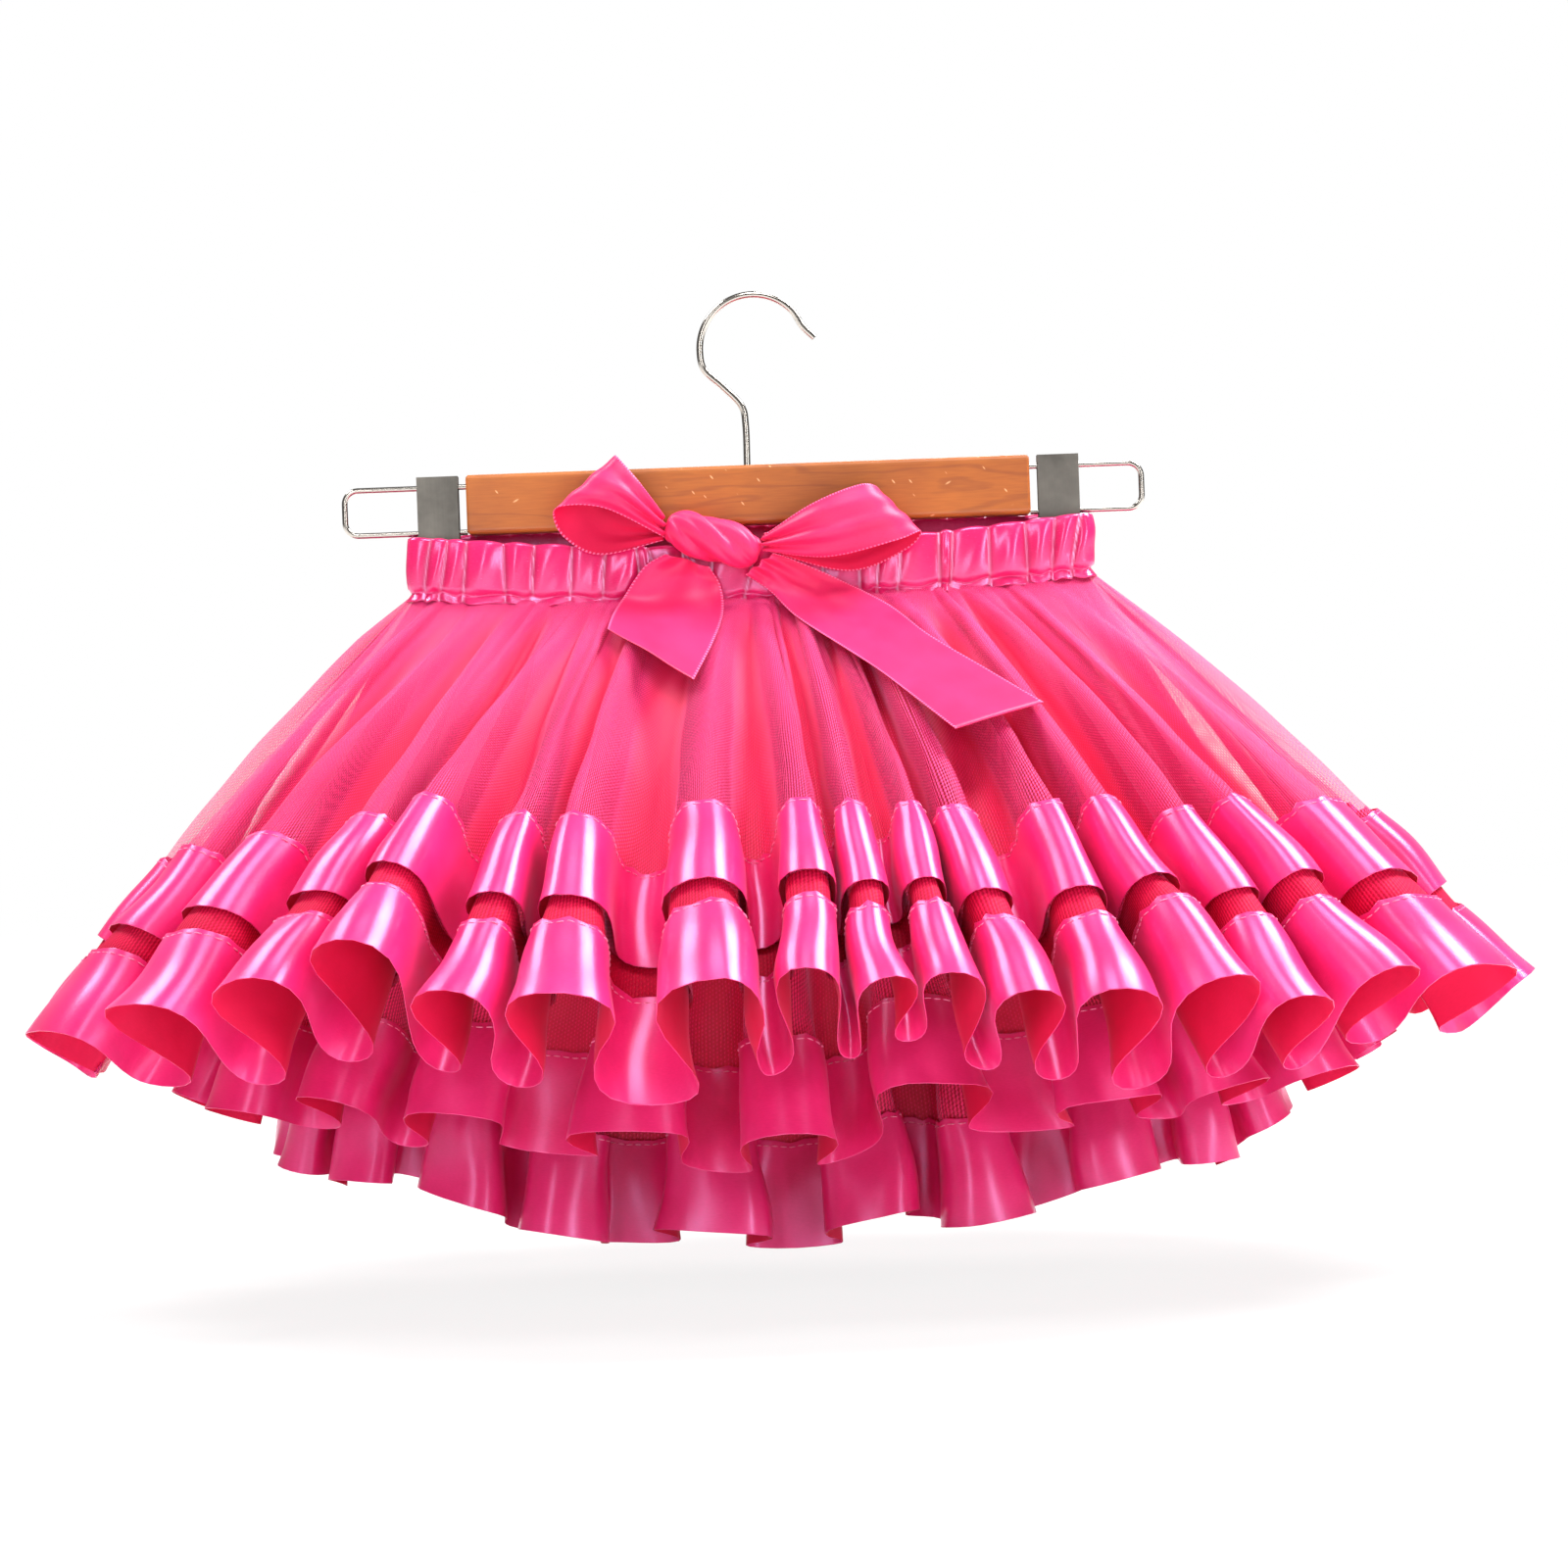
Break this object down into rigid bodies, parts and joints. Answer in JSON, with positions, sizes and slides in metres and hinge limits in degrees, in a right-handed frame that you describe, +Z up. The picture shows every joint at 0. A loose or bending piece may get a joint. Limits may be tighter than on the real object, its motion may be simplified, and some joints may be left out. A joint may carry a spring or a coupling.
{
  "type": "tutu skirt on a clip hanger",
  "caption": "Child's tutu skirt of fluted tulle layers edged with satin ribbon, with a gathered satin waistband and a ribbon bow, hung by its waistband on a small wooden clip hanger.",
  "frame": {"origin": "inside of the hook's crown, where the hook bears on a rail", "axes": "+Z up, +X to the right seen from the skirt's front, -Y out of the skirt's front"},
  "size_m": [0.5633, 0.3852, 0.3525],
  "materials": {
    "tulle": "soft nylon tulle net, hot pink, matt and slightly see-through",
    "satin_ribbon": "glossy polyester satin ribbon, hot pink with a lilac sheen on its face, matt crimson back",
    "satin_waistband": "glossy gathered satin casing, hot pink with a lilac sheen",
    "satin_bow": "soft satin ribbon, warm hot pink",
    "varnished_wood": "orange-brown varnished softwood, semi-gloss",
    "satin_steel": "satin grey sheet steel",
    "chromed_wire": "bright chromed steel wire"
  },
  "bodies": {
    "root": {"hook": "chromed_wire", "hanger_bar": "varnished_wood", "clip_left": "satin_steel", "clip_right": "satin_steel", "wire_loop_left": "chromed_wire", "wire_loop_right": "chromed_wire", "waistband": "satin_waistband", "tulle_outer_front": "tulle", "tulle_outer_back": "tulle", "tulle_middle_front": "tulle", "tulle_middle_back": "tulle", "tulle_inner_front": "tulle", "tulle_inner_back": "tulle", "ribbon_upper_front": "satin_ribbon", "ribbon_upper_back": "satin_ribbon", "ribbon_hem_front": "satin_ribbon", "ribbon_hem_back": "satin_ribbon", "ribbon_middle_front": "satin_ribbon", "ribbon_middle_back": "satin_ribbon", "ribbon_inner_front": "satin_ribbon", "ribbon_inner_back": "satin_ribbon", "bow_knot": "satin_bow", "bow_loop_left": "satin_bow", "bow_loop_right": "satin_bow", "bow_tail_short": "satin_bow", "bow_tail_long": "satin_bow"}
  },
  "joints": []
}
